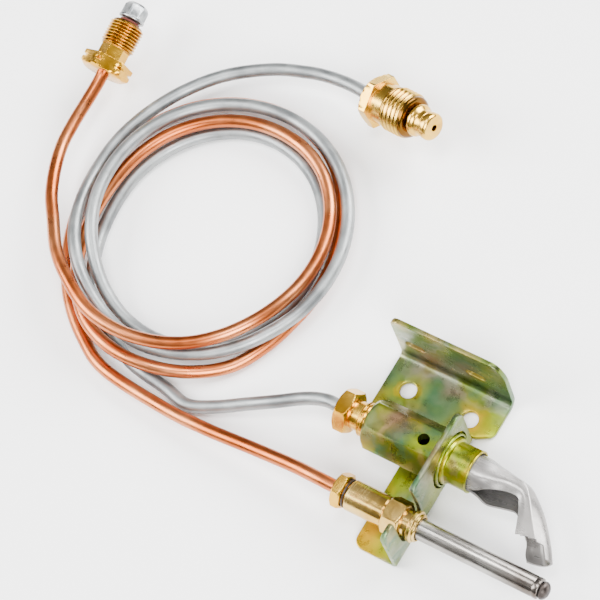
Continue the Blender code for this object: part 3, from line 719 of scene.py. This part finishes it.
build_bracket(zinc("bracket_zinc", [LIME, OLIVE, TEAL, SILVER, OLIVE, TEAL, STRAW], [
    stain(-3.0, 8.0, 0.6, 5.0, 11.0, LIME, 0.75),
    stain(2.5, 12.0, 0.6, 2.0, 7.0, LIME, 0.95),
    stain(-3.2, 12.2, 0.6, 3.2, 6.0, GOLD, 0.75),
    stain(-3.2, 12.2, 0.6, 2.4, 3.2, AMBER, 0.55),
    stain(-19.5, 12.2, 0.6, 3.4, 6.5, LIME, 0.7),
    stain(-19.5, 12.2, 0.6, 2.4, 3.4, GOLD, 0.85),
    stain(-26.0, 4.0, 0.6, 1.0, 6.0, LIME, 0.8),
    stain(-24.5, 8.0, 0.6, 0.5, 3.5, GOLD, 0.7),
    stain(-15.5, 9.5, 0.6, 0.5, 3.0, GOLD, 0.5),
    stain(-24.0, 15.0, 0.8, 1.0, 5.0, TEAL, 0.6),
    stain(1.5, 8.5, 0.6, 0.5, 3.0, GOLD, 0.75),
    stain(-11.0, 12.0, 0.6, 3.0, 8.0, TEAL, 0.7),
    stain(-20.5, 20.4, 7.6, 1.4, 3.4, GOLD, 0.7),
    stain(-4.6, 20.4, 7.6, 1.4, 3.4, GOLD, 0.7),
    stain(-9.0, 16.8, 0.8, 1.0, 4.0, MAUVE, 0.5),
    stain(-17.0, 19.5, 6.0, 1.0, 8.0, MAUVE, 0.85),
    stain(-24.0, 20.4, 18.6, 0.5, 4.0, STRAW, 0.9),
    stain(-15.0, 20.4, 19.4, 0.5, 4.0, STRAW, 0.9),
    stain(-6.0, 20.4, 19.4, 0.5, 4.0, STRAW, 0.9),
    stain(-8.0, 19.5, 9.0, 1.0, 6.0, MAUVE, 0.6),
    stain(-27.0, 19.5, 6.0, 2.0, 7.0, STRAW, 0.6),
    stain(4.0, 19.5, 7.0, 2.0, 8.0, TEAL, 0.7),
    stain(-9.0, -23.5, 0.6, 3.0, 8.5, AMBER, 0.9),
    stain(-4.5, -22.0, 0.6, 1.0, 5.0, LIME, 0.9),
    stain(-10.0, -27.0, 0.6, 0.5, 3.5, LIME, 0.6),
    stain(-15.0, -20.0, 0.6, 0.5, 5.0, LIME, 0.7),
    stain(-8.0, -7.0, 0.6, 2.0, 6.0, OLIVE, 0.7),
    stain(-12.0, -8.0, 0.6, 2.0, 7.0, LIME, 0.95),
    stain(-13.0, -9.5, 0.6, 0.5, 3.0, GOLD, 0.8),
    stain(0.0, -3.0, 10.0, 3.0, 10.0, STRAW, 0.6),
    stain(0.0, 5.0, 14.0, 1.0, 7.0, OLIVE, 0.6),
    stain(0.0, -8.0, 4.0, 1.0, 7.0, LIME, 0.5),
    stain(0.0, -4.0, 16.0, 0.5, 5.0, MAUVE, 0.5),
]))

# ---------------------------------------------------------------- pilot burner
HALF_FLATS = 5.55
BODY_REAR, BODY_FRONT = -20.3, -1.5
AIR_HOLE_X, AIR_HOLE_R = -5.8, 1.4


def build_pilot_body(mat):
    """Hexagonal body with a stepped gas passage, drilled for air from above."""
    body = turned("pilot_hex_body", hex_block(BODY_REAR, BODY_FRONT, HALF_FLATS, 1.1, False), [
        (BODY_FRONT, 3.6), (-3.9, 3.6), (-3.9, 2.8), (-11.6, 2.8), (-11.6, 3.0), (BODY_REAR, 3.0),
    ], PILOT_AXIS, turn=QUARTER, bevel=0.0)
    drill = turned("air_drill", [(-9.0, AIR_HOLE_R), (9.0, AIR_HOLE_R)], [],
                   PILOT_AXIS + Vector((AIR_HOLE_X * MM, 0, 0)), (0, 0, 1), bevel=0.0, sides=48)
    bpy.context.view_layer.update()
    mod = body.modifiers.new("air", "BOOLEAN")
    mod.operation = "DIFFERENCE"
    mod.solver = "EXACT"
    mod.object = drill
    bpy.context.view_layer.update()
    graph = bpy.context.evaluated_depsgraph_get()
    body.data = bpy.data.meshes.new_from_object(body.evaluated_get(graph))
    body.modifiers.clear()
    bpy.data.objects.remove(drill)
    place_piece(soften(body, 0.16), ROOT, ["pilot_body"], mat)


def spot(x, y, z, inner, outer, tone, amount):
    """A zinc patch at millimetres along and about the piece's own axis."""
    return Vector((x, y, z)) * MM, inner, outer, tone, amount


build_pilot_body(zinc("pilot_zinc", [OLIVE, TEAL, OLIVE, STRAW, OLIVE, LIME], [
    spot(-13.5, 2.0, 5.0, 1.0, 6.5, MAUVE, 0.7),
    spot(-19.5, -3.0, 3.0, 0.5, 5.0, STRAW, 0.6),
    spot(-20.5, -5.0, -1.0, 0.5, 5.0, AMBER, 0.7),
    spot(-12.0, -5.0, -2.0, 0.5, 4.0, MAUVE, 0.65),
    spot(-5.0, -4.0, 2.0, 1.0, 5.0, OLIVE, 0.7),
    spot(-9.0, 3.0, 5.0, 0.5, 3.0, GOLD, 0.6),
    spot(-6.0, -1.0, 5.0, 0.5, 4.0, LIME, 0.8),
    spot(-18.0, 3.0, 5.0, 0.5, 3.5, LIME, 0.7),
    spot(-1.0, 3.0, 5.0, 1.0, 4.0, LIME, 0.6),
], 1.2))

turned_piece("mount_swage", "mount_ring", ROOT, "zinc_plate",
             zinc("swage_zinc", [STRAW, LIME, OLIVE, STRAW], scale=2.0),
             [(-1.2, 6.5), (0.0, 6.5), (0.30, 6.42), (0.45, 6.2)],
             [(0.45, 5.95), (-1.2, 5.95)], PILOT_AXIS)

turned_piece("burner_barrel", "burner_tube", ROOT, "zinc_plate",
             zinc("barrel_zinc", [LIME, GOLD, LIME, STRAW, LIME],
                  [spot(4.0, 1.0, 4.0, 0.5, 2.6, TEAL, 0.55)], 1.4, 0.1),
             [(-3.6, 3.3), (-1.2, 3.3), (-1.2, 5.65), (0.7, 5.65), (1.05, 5.5), (1.2, 5.25),
              (1.25, 4.95), (6.1, 4.95), (6.25, 5.08), (6.5, 5.10), (6.7, 5.02)],
             [(6.7, 4.62), (6.4, 4.5), (3.2, 4.5), (3.2, 2.6), (-3.6, 2.6)],
             PILOT_AXIS, bevel=0.06)

# Hood rows from the barrel to the tip, each a line of points (x, y, z) round the section: upper
# lip, upper panel, crease, outer side, bottom outer, bottom, lower lip.
HOOD = [
    [(4.2, -4.1, 7.7), (4.2, -1.8, 11.2), (4.2, 2.4, 10.8), (4.2, 4.15, 7.4), (4.2, 2.4, 4.0),
     (4.2, -1.8, 3.6), (4.2, -4.1, 7.1)],
    [(8.4, -4.05, 8.3), (8.4, -1.9, 11.1), (8.4, 2.3, 10.8), (8.4, 4.0, 7.4), (8.4, 2.3, 4.0),
     (8.4, -1.8, 3.5), (8.4, -4.2, 5.9)],
    [(11.6, -2.9, 9.7), (11.5, -0.7, 10.8), (11.5, 2.2, 10.3), (11.5, 3.4, 7.4), (11.5, 2.0, 4.4),
     (11.5, -1.8, 3.7), (11.5, -4.9, 4.9)],
    [(15.2, -1.6, 9.6), (15.1, 0.3, 10.3), (15.0, 2.1, 9.9), (15.2, 2.8, 7.4), (15.0, 1.6, 4.8),
     (15.0, -1.6, 4.2), (15.3, -4.3, 5.3)],
    [(18.3, -1.4, 9.5), (18.4, 0.1, 10.0), (18.6, 1.6, 9.8), (19.4, 2.0, 7.4), (18.6, 1.0, 5.0),
     (17.8, -1.3, 4.4), (18.2, -3.7, 5.1)],
    [(19.5, -2.9, 9.5), (20.1, -1.4, 9.8), (20.7, -0.5, 9.7), (22.0, 0.3, 7.4), (21.0, -0.7, 5.0),
     (19.6, -2.4, 4.5), (19.8, -4.6, 5.0)],
    [(20.5, -5.0, 9.5), (21.4, -3.9, 9.7), (22.5, -3.0, 9.7), (24.8, -2.1, 7.4), (23.7, -3.1, 5.0),
     (21.9, -4.9, 4.5), (21.8, -6.5, 4.9)],
    [(21.5, -7.6, 9.5), (22.9, -6.7, 9.6), (24.6, -5.8, 9.7), (27.7, -5.3, 7.4), (26.5, -6.3, 5.0),
     (24.7, -7.8, 4.5), (23.9, -8.7, 4.8)],
    [(22.3, -9.7, 9.5), (24.2, -9.0, 9.5), (26.5, -8.3, 9.6), (29.9, -8.1, 7.4), (28.6, -9.0, 5.1),
     (26.4, -10.2, 4.6), (25.0, -11.1, 4.9)],
    [(23.2, -11.6, 9.5), (25.7, -11.5, 9.4), (28.9, -11.2, 9.4), (31.8, -10.9, 7.5),
     (30.6, -11.6, 5.5), (28.6, -12.2, 5.1), (26.2, -12.6, 5.2)],
]
HOOD_WALL, HOOD_FINE = 0.5, 8               # sheet's thickness, and mesh steps to a row
CREASE, LOWER_LIP = 2, 6                    # points of a row that are the crease and the last
NEAR_END, FOOT_FROM = 8, 2.45               # row where the near panel stops; the foot's first point
NEAR_SLANT, FOOT_SLANT = 0.35, 0.1          # slope of the cut on the panel, and past the crease


def hood_point(u, v):
    """Point of the hood's middle surface: u along the rows, v round the section."""
    i, j = min(int(u), len(HOOD) - 2), min(int(v), LOWER_LIP - 1)
    low, high = (0, CREASE) if v < CREASE else (CREASE, LOWER_LIP)

    def along(row, c):
        cols = [HOOD[row][min(max(j + k, low), high)][c] for k in (-1, 0, 1, 2)]
        return catmull(*cols, v - j)

    rows = [min(max(i + k, 0), len(HOOD) - 1) for k in (-1, 0, 1, 2)]
    return at(*[catmull(*[along(r, c) for r in rows], u - i) for c in range(3)])


def build_hood(mat):
    """Formed hood: a bent strip whose near panel stops short and whose far side runs on as a foot."""
    bm = bmesh.new()
    rows = [k / HOOD_FINE for k in range((len(HOOD) - 1) * HOOD_FINE + 1)]
    cols = [k / HOOD_FINE for k in range(LOWER_LIP * HOOD_FINE + 1)]
    grid = [[bm.verts.new(hood_point(u, v)) for v in cols] for u in rows]
    for i in range(len(rows) - 1):
        for j in range(len(cols) - 1):
            u, v = rows[i], cols[j]
            near_end = (NEAR_END - NEAR_SLANT * (1.0 - min(v, CREASE) / CREASE)
                        + FOOT_SLANT * max(v - CREASE, 0.0))
            if v < FOOT_FROM and u >= near_end:
                continue
            bm.faces.new((grid[i][j], grid[i][j + 1], grid[i + 1][j + 1], grid[i + 1][j]))
    bmesh.ops.delete(bm, geom=[v for v in bm.verts if not v.link_faces], context="VERTS")
    bmesh.ops.recalc_face_normals(bm, faces=bm.faces)
    hood = new_object("flame_hood", new_mesh("flame_hood", bm))
    wall = hood.modifiers.new("wall", "SOLIDIFY")
    wall.thickness = HOOD_WALL * MM
    wall.offset = 0.0
    place_piece(soften(hood, 0.12, 40), ROOT, ["burner_hood"], mat)


build_hood(stainless("hood_stainless", linear(150, 147, 144), linear(122, 120, 118),
                     (22.0, 40.0, 0.25), (2.0, 9.0, 9.0), 0.03, 0.02, 0.72))

TURNED_BRASS = brass("turned_brass", linear(202, 146, 38), linear(224, 176, 68))

turned_piece("orifice_insert", "pilot_orifice", ROOT, "brass", TURNED_BRASS,
             [(-16.2, 2.7), (-13.2, 2.7), (-12.6, 2.2), (-11.9, 2.2)],
             [(-11.9, 0.5), (-13.4, 0.5), (-14.2, 1.5), (-16.2, 1.5)], PILOT_AXIS, sides=48)

turned_piece("inlet_compression_nut", "inlet_nut", "inlet_nut", "brass", TURNED_BRASS,
             hex_block(-28.4, -24.8, 4.75) + [
                 (-24.8, 3.45), (-22.5, 3.45), (-22.4, 4.0), (-22.1, 4.2), (-21.8, 3.95),
                 (-21.5, 4.2), (-21.1, 4.2), (-20.6, 4.0), (-20.6, 2.7), (-18.6, 2.7)],
             [(-18.6, 1.95), (-28.1, 1.95), (-28.4, 2.25)], PILOT_AXIS, turn=QUARTER)

turned_piece("inlet_olive", "inlet_ferrule", "inlet_ferrule", "brass", TURNED_BRASS,
             [(-18.2, 2.3), (-17.5, 2.6), (-16.9, 2.3)],
             [(-16.9, 1.95), (-18.2, 1.95)], PILOT_AXIS, sides=48)

# ---------------------------------------------------------------- thermocouple head
TIP = 32.7                                  # end of the sheath
SHEATH_R, ROD_R = 2.42, 0.8

turned_piece("thermocouple_sleeve", "thermocouple_body", ROOT, "brass",
             brass("sleeve_brass", linear(196, 156, 76), linear(216, 182, 108)),
             [(-15.8, 3.3), (-15.5, 3.65), (-6.4, 3.65), (-6.2, 3.5), (-6.1, 3.5)]
             + hex_block(-6.0, -1.5, 4.0, 0.55) + [
                 (-1.5, 3.1), (0.3, 3.1), (0.35, 3.4), (0.6, 3.75), (1.4, 3.75), (1.6, 3.3),
                 (2.1, 3.3), (2.4, 3.0)],
             [(2.4, 2.72), (-4.0, 2.72), (-4.0, 2.1), (-8.6, 2.1), (-8.6, 2.75), (-15.8, 2.75)],
             PROBE_AXIS, turn=QUARTER, bevel=0.08)

turned_piece("retaining_nut", "retainer_nut", "retainer_nut", "brass", TURNED_BRASS,
             hex_block(-19.2, -16.7, 3.8, 0.5) + [(-16.7, 2.45), (-12.6, 2.45)],
             [(-12.6, 1.95), (-18.9, 1.95), (-19.2, 2.2)], PROBE_AXIS, turn=QUARTER)

# Painted shadow: the washer's dark oxide stands for the shadow line at the step between the retaining
# nut and the sleeve
turned_piece("retaining_washer", "retainer_washer", "retainer_washer", "dark_steel",
             oxide("washer_painted_shadow"), [(-16.4, 3.45), (-16.1, 3.45)],
             [(-16.1, 2.75), (-16.4, 2.75)], PROBE_AXIS, bevel=0.05)

turned_piece("probe_tube", "probe_sheath", ROOT, "stainless",
             stainless("probe_stainless", linear(168, 165, 160), linear(138, 134, 128),
                       (19.0, 31.0, 0.95)),
             [(-3.6, SHEATH_R), (TIP - 1.6, SHEATH_R), (TIP - 1.35, 2.34), (TIP - 1.1, SHEATH_R),
              (TIP - 0.5, 2.45), (TIP - 0.15, 2.4), (TIP, 2.2)],
             [(TIP, 1.75), (TIP - 2.0, 1.95), (-3.6, 1.95)], PROBE_AXIS, bevel=0.05)

turned_piece("hot_junction", "probe_tip", ROOT, "dark_steel", oxide("tip_oxide"),
             [(TIP - 1.6, 1.4), (TIP + 0.3, 1.4), (TIP + 0.3, 2.0), (TIP + 0.45, 2.1),
              (TIP + 0.8, 2.1), (TIP + 1.2, 1.92), (TIP + 1.55, 1.6), (TIP + 1.8, 1.15),
              (TIP + 1.92, 0.6), (TIP + 1.95, 0.15)], [], PROBE_AXIS, bevel=0.04)

turned_piece("thermo_rod", "inner_rod", ROOT, "dark_steel", oxide("rod_oxide"),
             [(-7.4, ROD_R), (TIP - 1.9, ROD_R)], [], PROBE_AXIS, sides=32)

turned_piece("rod_bead", "rod_insulator", ROOT, "ceramic", ceramic("bead_ceramic"),
             [(-3.2, 1.6), (2.8, 1.6)], [(2.8, 1.1), (-3.2, 1.1)], PROBE_AXIS, sides=32)

# ---------------------------------------------------------------- connector on the lead
THREAD_DEPTH = 0.5
CONNECTOR_R, CONNECTOR_PITCH = 4.365, 0.794
HEAD = crowned(5.56)
SLEEVE_BORE = [(0.9, 1.95), (0.8, 1.66), (0.0, 1.66)]   # a free nut's bore where its tube enters

# Painted shade: notch darkens the V-groove's facets, root the thread roots and the bore
turned_piece("connector_nut_head", "connector_nut", "connector_nut", "brass",
             brass("connector_brass", linear(202, 142, 24), linear(222, 168, 46),
                   notch=(2.16, 5.66, 1.7, 0.45), root=(3.85, 4.3, 7.0), lathe=0.04),
             [(0.0, 5.3, HEAD), (0.2, 5.6, HEAD), (0.5, 6.05, HEAD), (0.9, 6.45, HEAD),
              (1.72, 6.45, HEAD), (2.12, 5.72, HEAD), (2.2, 5.72, HEAD), (2.6, 6.45, HEAD),
              (3.5, 6.45, HEAD), (3.6, 6.30, HEAD), (3.6, 3.15, plain_hex),
              (7.0, 3.15, plain_hex), (7.0, 3.85)]
             + helix(7.1, 13.45, CONNECTOR_R, THREAD_DEPTH, CONNECTOR_PITCH) + [(13.8, 3.5)],
             [(13.8, 2.75), (12.0, 2.75), (12.0, 1.95)] + SLEEVE_BORE,
             LEAD_BASE, LEAD_AIM, bevel=0.05)

COPPER = drawn_tube("copper_drawn", (linear(164, 84, 44), linear(178, 98, 56),
                                     linear(198, 122, 78)), linear(108, 50, 26),
                    1.0, 0.26, 0.38, 0.12)
SOLDER = soldered("tinned_cap")

turned_piece("lead_seat", "connector_seat", ROOT, "copper", COPPER,
             [(12.3, 2.1), (12.7, 2.4), (13.7, 2.4)], [(13.7, 0.9), (12.3, 0.9)],
             LEAD_BASE, LEAD_AIM, sides=48)

turned_piece("fibre_washer", "insulating_washer", ROOT, "red_fibre", fibre("red_fibre"),
             [(14.0, 2.45), (14.08, 2.6), (14.42, 2.6), (14.5, 2.45)],
             [(14.5, 0.9), (14.0, 0.9)], LEAD_BASE, LEAD_AIM, sides=64)

turned_piece("solder_cap", "contact_cap", ROOT, "silver", SOLDER,
             [(14.8, 3.0), (14.92, 3.2), (15.05, 3.27), (15.5, 3.27), (15.6, 3.0),
              (15.75, 2.72, plain_hex), (18.1, 2.72, plain_hex), (18.9, 2.25, plain_hex),
              (19.2, 1.9)], [(19.2, 0.62), (14.8, 0.9)], LEAD_BASE, LEAD_AIM, bevel=0.07)

turned_piece("solder_pin", "contact_pin", ROOT, "silver", SOLDER,
             [(12.8, 0.58), (19.1, 0.58), (19.3, 0.5), (19.4, 0.3)], [],
             LEAD_BASE, LEAD_AIM, sides=32)

# ---------------------------------------------------------------- fitting on the gas tube
GAS_THREAD_R, GAS_PITCH = 5.6, 1.27
GAS_HEX = crowned(5.75)

# Painted shade: root darkens the thread roots and the bore
turned_piece("gas_union_nut", "gas_nut", "gas_nut", "brass",
             brass("gas_brass", linear(204, 156, 56), linear(224, 182, 84),
                   root=(5.08, 5.5, 6.3)),
             [(0.0, 5.5, GAS_HEX), (0.15, 5.8, GAS_HEX), (0.4, 6.2, GAS_HEX),
              (0.8, 6.64, GAS_HEX), (2.7, 6.64, GAS_HEX), (2.8, 6.5, GAS_HEX), (2.8, 5.1),
              (6.25, 5.1)]
             + helix(6.3, 12.65, GAS_THREAD_R, THREAD_DEPTH, GAS_PITCH) + [
                 (12.75, 5.1), (12.95, 4.95), (13.2, 4.55), (13.3, 4.2), (13.3, 3.3),
                 (13.15, 3.1)],
             [(12.9, 2.9), (9.2, 2.9), (9.2, 1.95)] + SLEEVE_BORE, GAS_BASE, GAS_AIM, bevel=0.05)

# Painted shade: root darkens the bore
turned_piece("gas_nose_piece", "gas_nose", ROOT, "brass",
             brass("nose_brass", linear(200, 150, 52), linear(222, 176, 78),
                   root=(0.78, 0.84, 9.0)),
             [(9.6, 2.5), (13.6, 2.5), (13.6, 3.2), (13.9, 3.6), (14.2, 3.9), (14.4, 3.95),
              (14.9, 3.95), (15.2, 3.8), (15.5, 3.5), (15.8, 3.25), (16.2, 3.12), (17.2, 3.12),
              (17.35, 3.0), (17.5, 3.0), (17.7, 3.3), (18.8, 3.38), (19.2, 3.25), (19.5, 2.95),
              (19.65, 2.65)],
             [(19.65, 0.8), (19.5, 0.72), (9.6, 0.72)], GAS_BASE, GAS_AIM, bevel=0.05)


# ---------------------------------------------------------------- the two tubes
def tube(name, route, mat, node):
    """Round tube along its route, made as a bevelled curve that leaves the assembly at the route's
    end.
    """
    path, length = even_path(route)
    curve = bpy.data.curves.new(name, "CURVE")
    curve.dimensions = "3D"
    curve.bevel_depth = TUBE_R * MM
    curve.bevel_resolution = 8
    curve.use_fill_caps = True
    spline = curve.splines.new("POLY")
    spline.points.add(len(path) - 1)
    spline.use_smooth = True
    for point, place in zip(spline.points, path):
        point.co = (*at(*place), 1.0)
    obj = new_object(name, curve)
    place_piece(obj, ROOT, [node], mat)


tube("thermocouple_lead", LEAD_START + coil_points(LEAD_COIL) + LEAD_END, COPPER,
     "copper_lead")
ALUMINIUM = drawn_tube("aluminium_drawn", (linear(128, 131, 132), linear(150, 153, 153),
                                           linear(114, 117, 118)), linear(96, 97, 94),
                       0.92, 0.38, 0.54, 0.28)
tube("pilot_gas_tube", GAS_START + coil_points(GAS_COIL) + GAS_END, ALUMINIUM,
     "gas_tube")


# ---------------------------------------------------------------- floor and light
FLOOR_HALF, FLOOR_DROP, FLOOR_TONE = 2.0, 0.0002, 0.97
SKY = [(0.0, 0.10), (0.30, 0.24), (0.62, 0.34), (1.0, 0.62)]    # height in the sky, and level
LIGHT_AIM = Vector((-0.06, 0.025, 0))
LAMPS = [   # name, place and width in metres, watts
    ("key", (-0.55, -0.30, 0.50), 0.50, 13.0),
    ("fill", (0.20, 0.60, 0.45), 0.50, 16.0),
    ("front", (0.50, -0.45, 0.60), 0.50, 18.0),
    ("top", (-0.06, 0.02, 0.95), 0.30, 6.0),
]


def build_floor():
    """Plain pale paper, just under what lies on it."""
    bm = bmesh.new()
    bmesh.ops.create_grid(bm, x_segments=1, y_segments=1, size=FLOOR_HALF)
    floor = new_object("floor", new_mesh("floor", bm))
    floor.location = (0, 0, -FLOOR_DROP)
    mat = bpy.data.materials.new("floor_paper")
    mat.use_nodes = True
    shader = mat.node_tree.nodes["Principled BSDF"]
    shader.inputs["Base Color"].default_value = (FLOOR_TONE,) * 3 + (1,)
    shader.inputs["Roughness"].default_value = 0.9
    floor.data.materials.append(mat)


def build_sky():
    """Studio surround that brightens towards the top."""
    world = bpy.data.worlds.new("studio")
    world.use_nodes = True
    nodes, links = world.node_tree.nodes, world.node_tree.links
    direction = nodes.new("ShaderNodeTexCoord").outputs["Generated"]
    parts = nodes.new("ShaderNodeSeparateXYZ")
    links.new(direction, parts.inputs[0])
    sky = nodes.new("ShaderNodeValToRGB")
    links.new(parts.outputs["Z"], sky.inputs["Fac"])
    elements = sky.color_ramp.elements
    for position, _ in SKY[1:-1]:
        elements.new(position)
    for element, (_, level) in zip(elements, SKY):
        element.color = (level,) * 3 + (1,)
    links.new(sky.outputs["Color"], nodes["Background"].inputs["Color"])
    nodes["Background"].inputs["Strength"].default_value = 1.0
    bpy.context.scene.world = world


def build_lamps():
    """Square softboxes, each turned to the middle of the assembly."""
    for name, place, width, power in LAMPS:
        data = bpy.data.lights.new(name, "AREA")
        data.size = width
        data.energy = power
        aim = (LIGHT_AIM - Vector(place)).to_track_quat("-Z", "Y").to_matrix().to_4x4()
        new_object(name, data, Matrix.Translation(place) @ aim)


build_floor()
build_sky()
build_lamps()
bpy.context.view_layer.update()
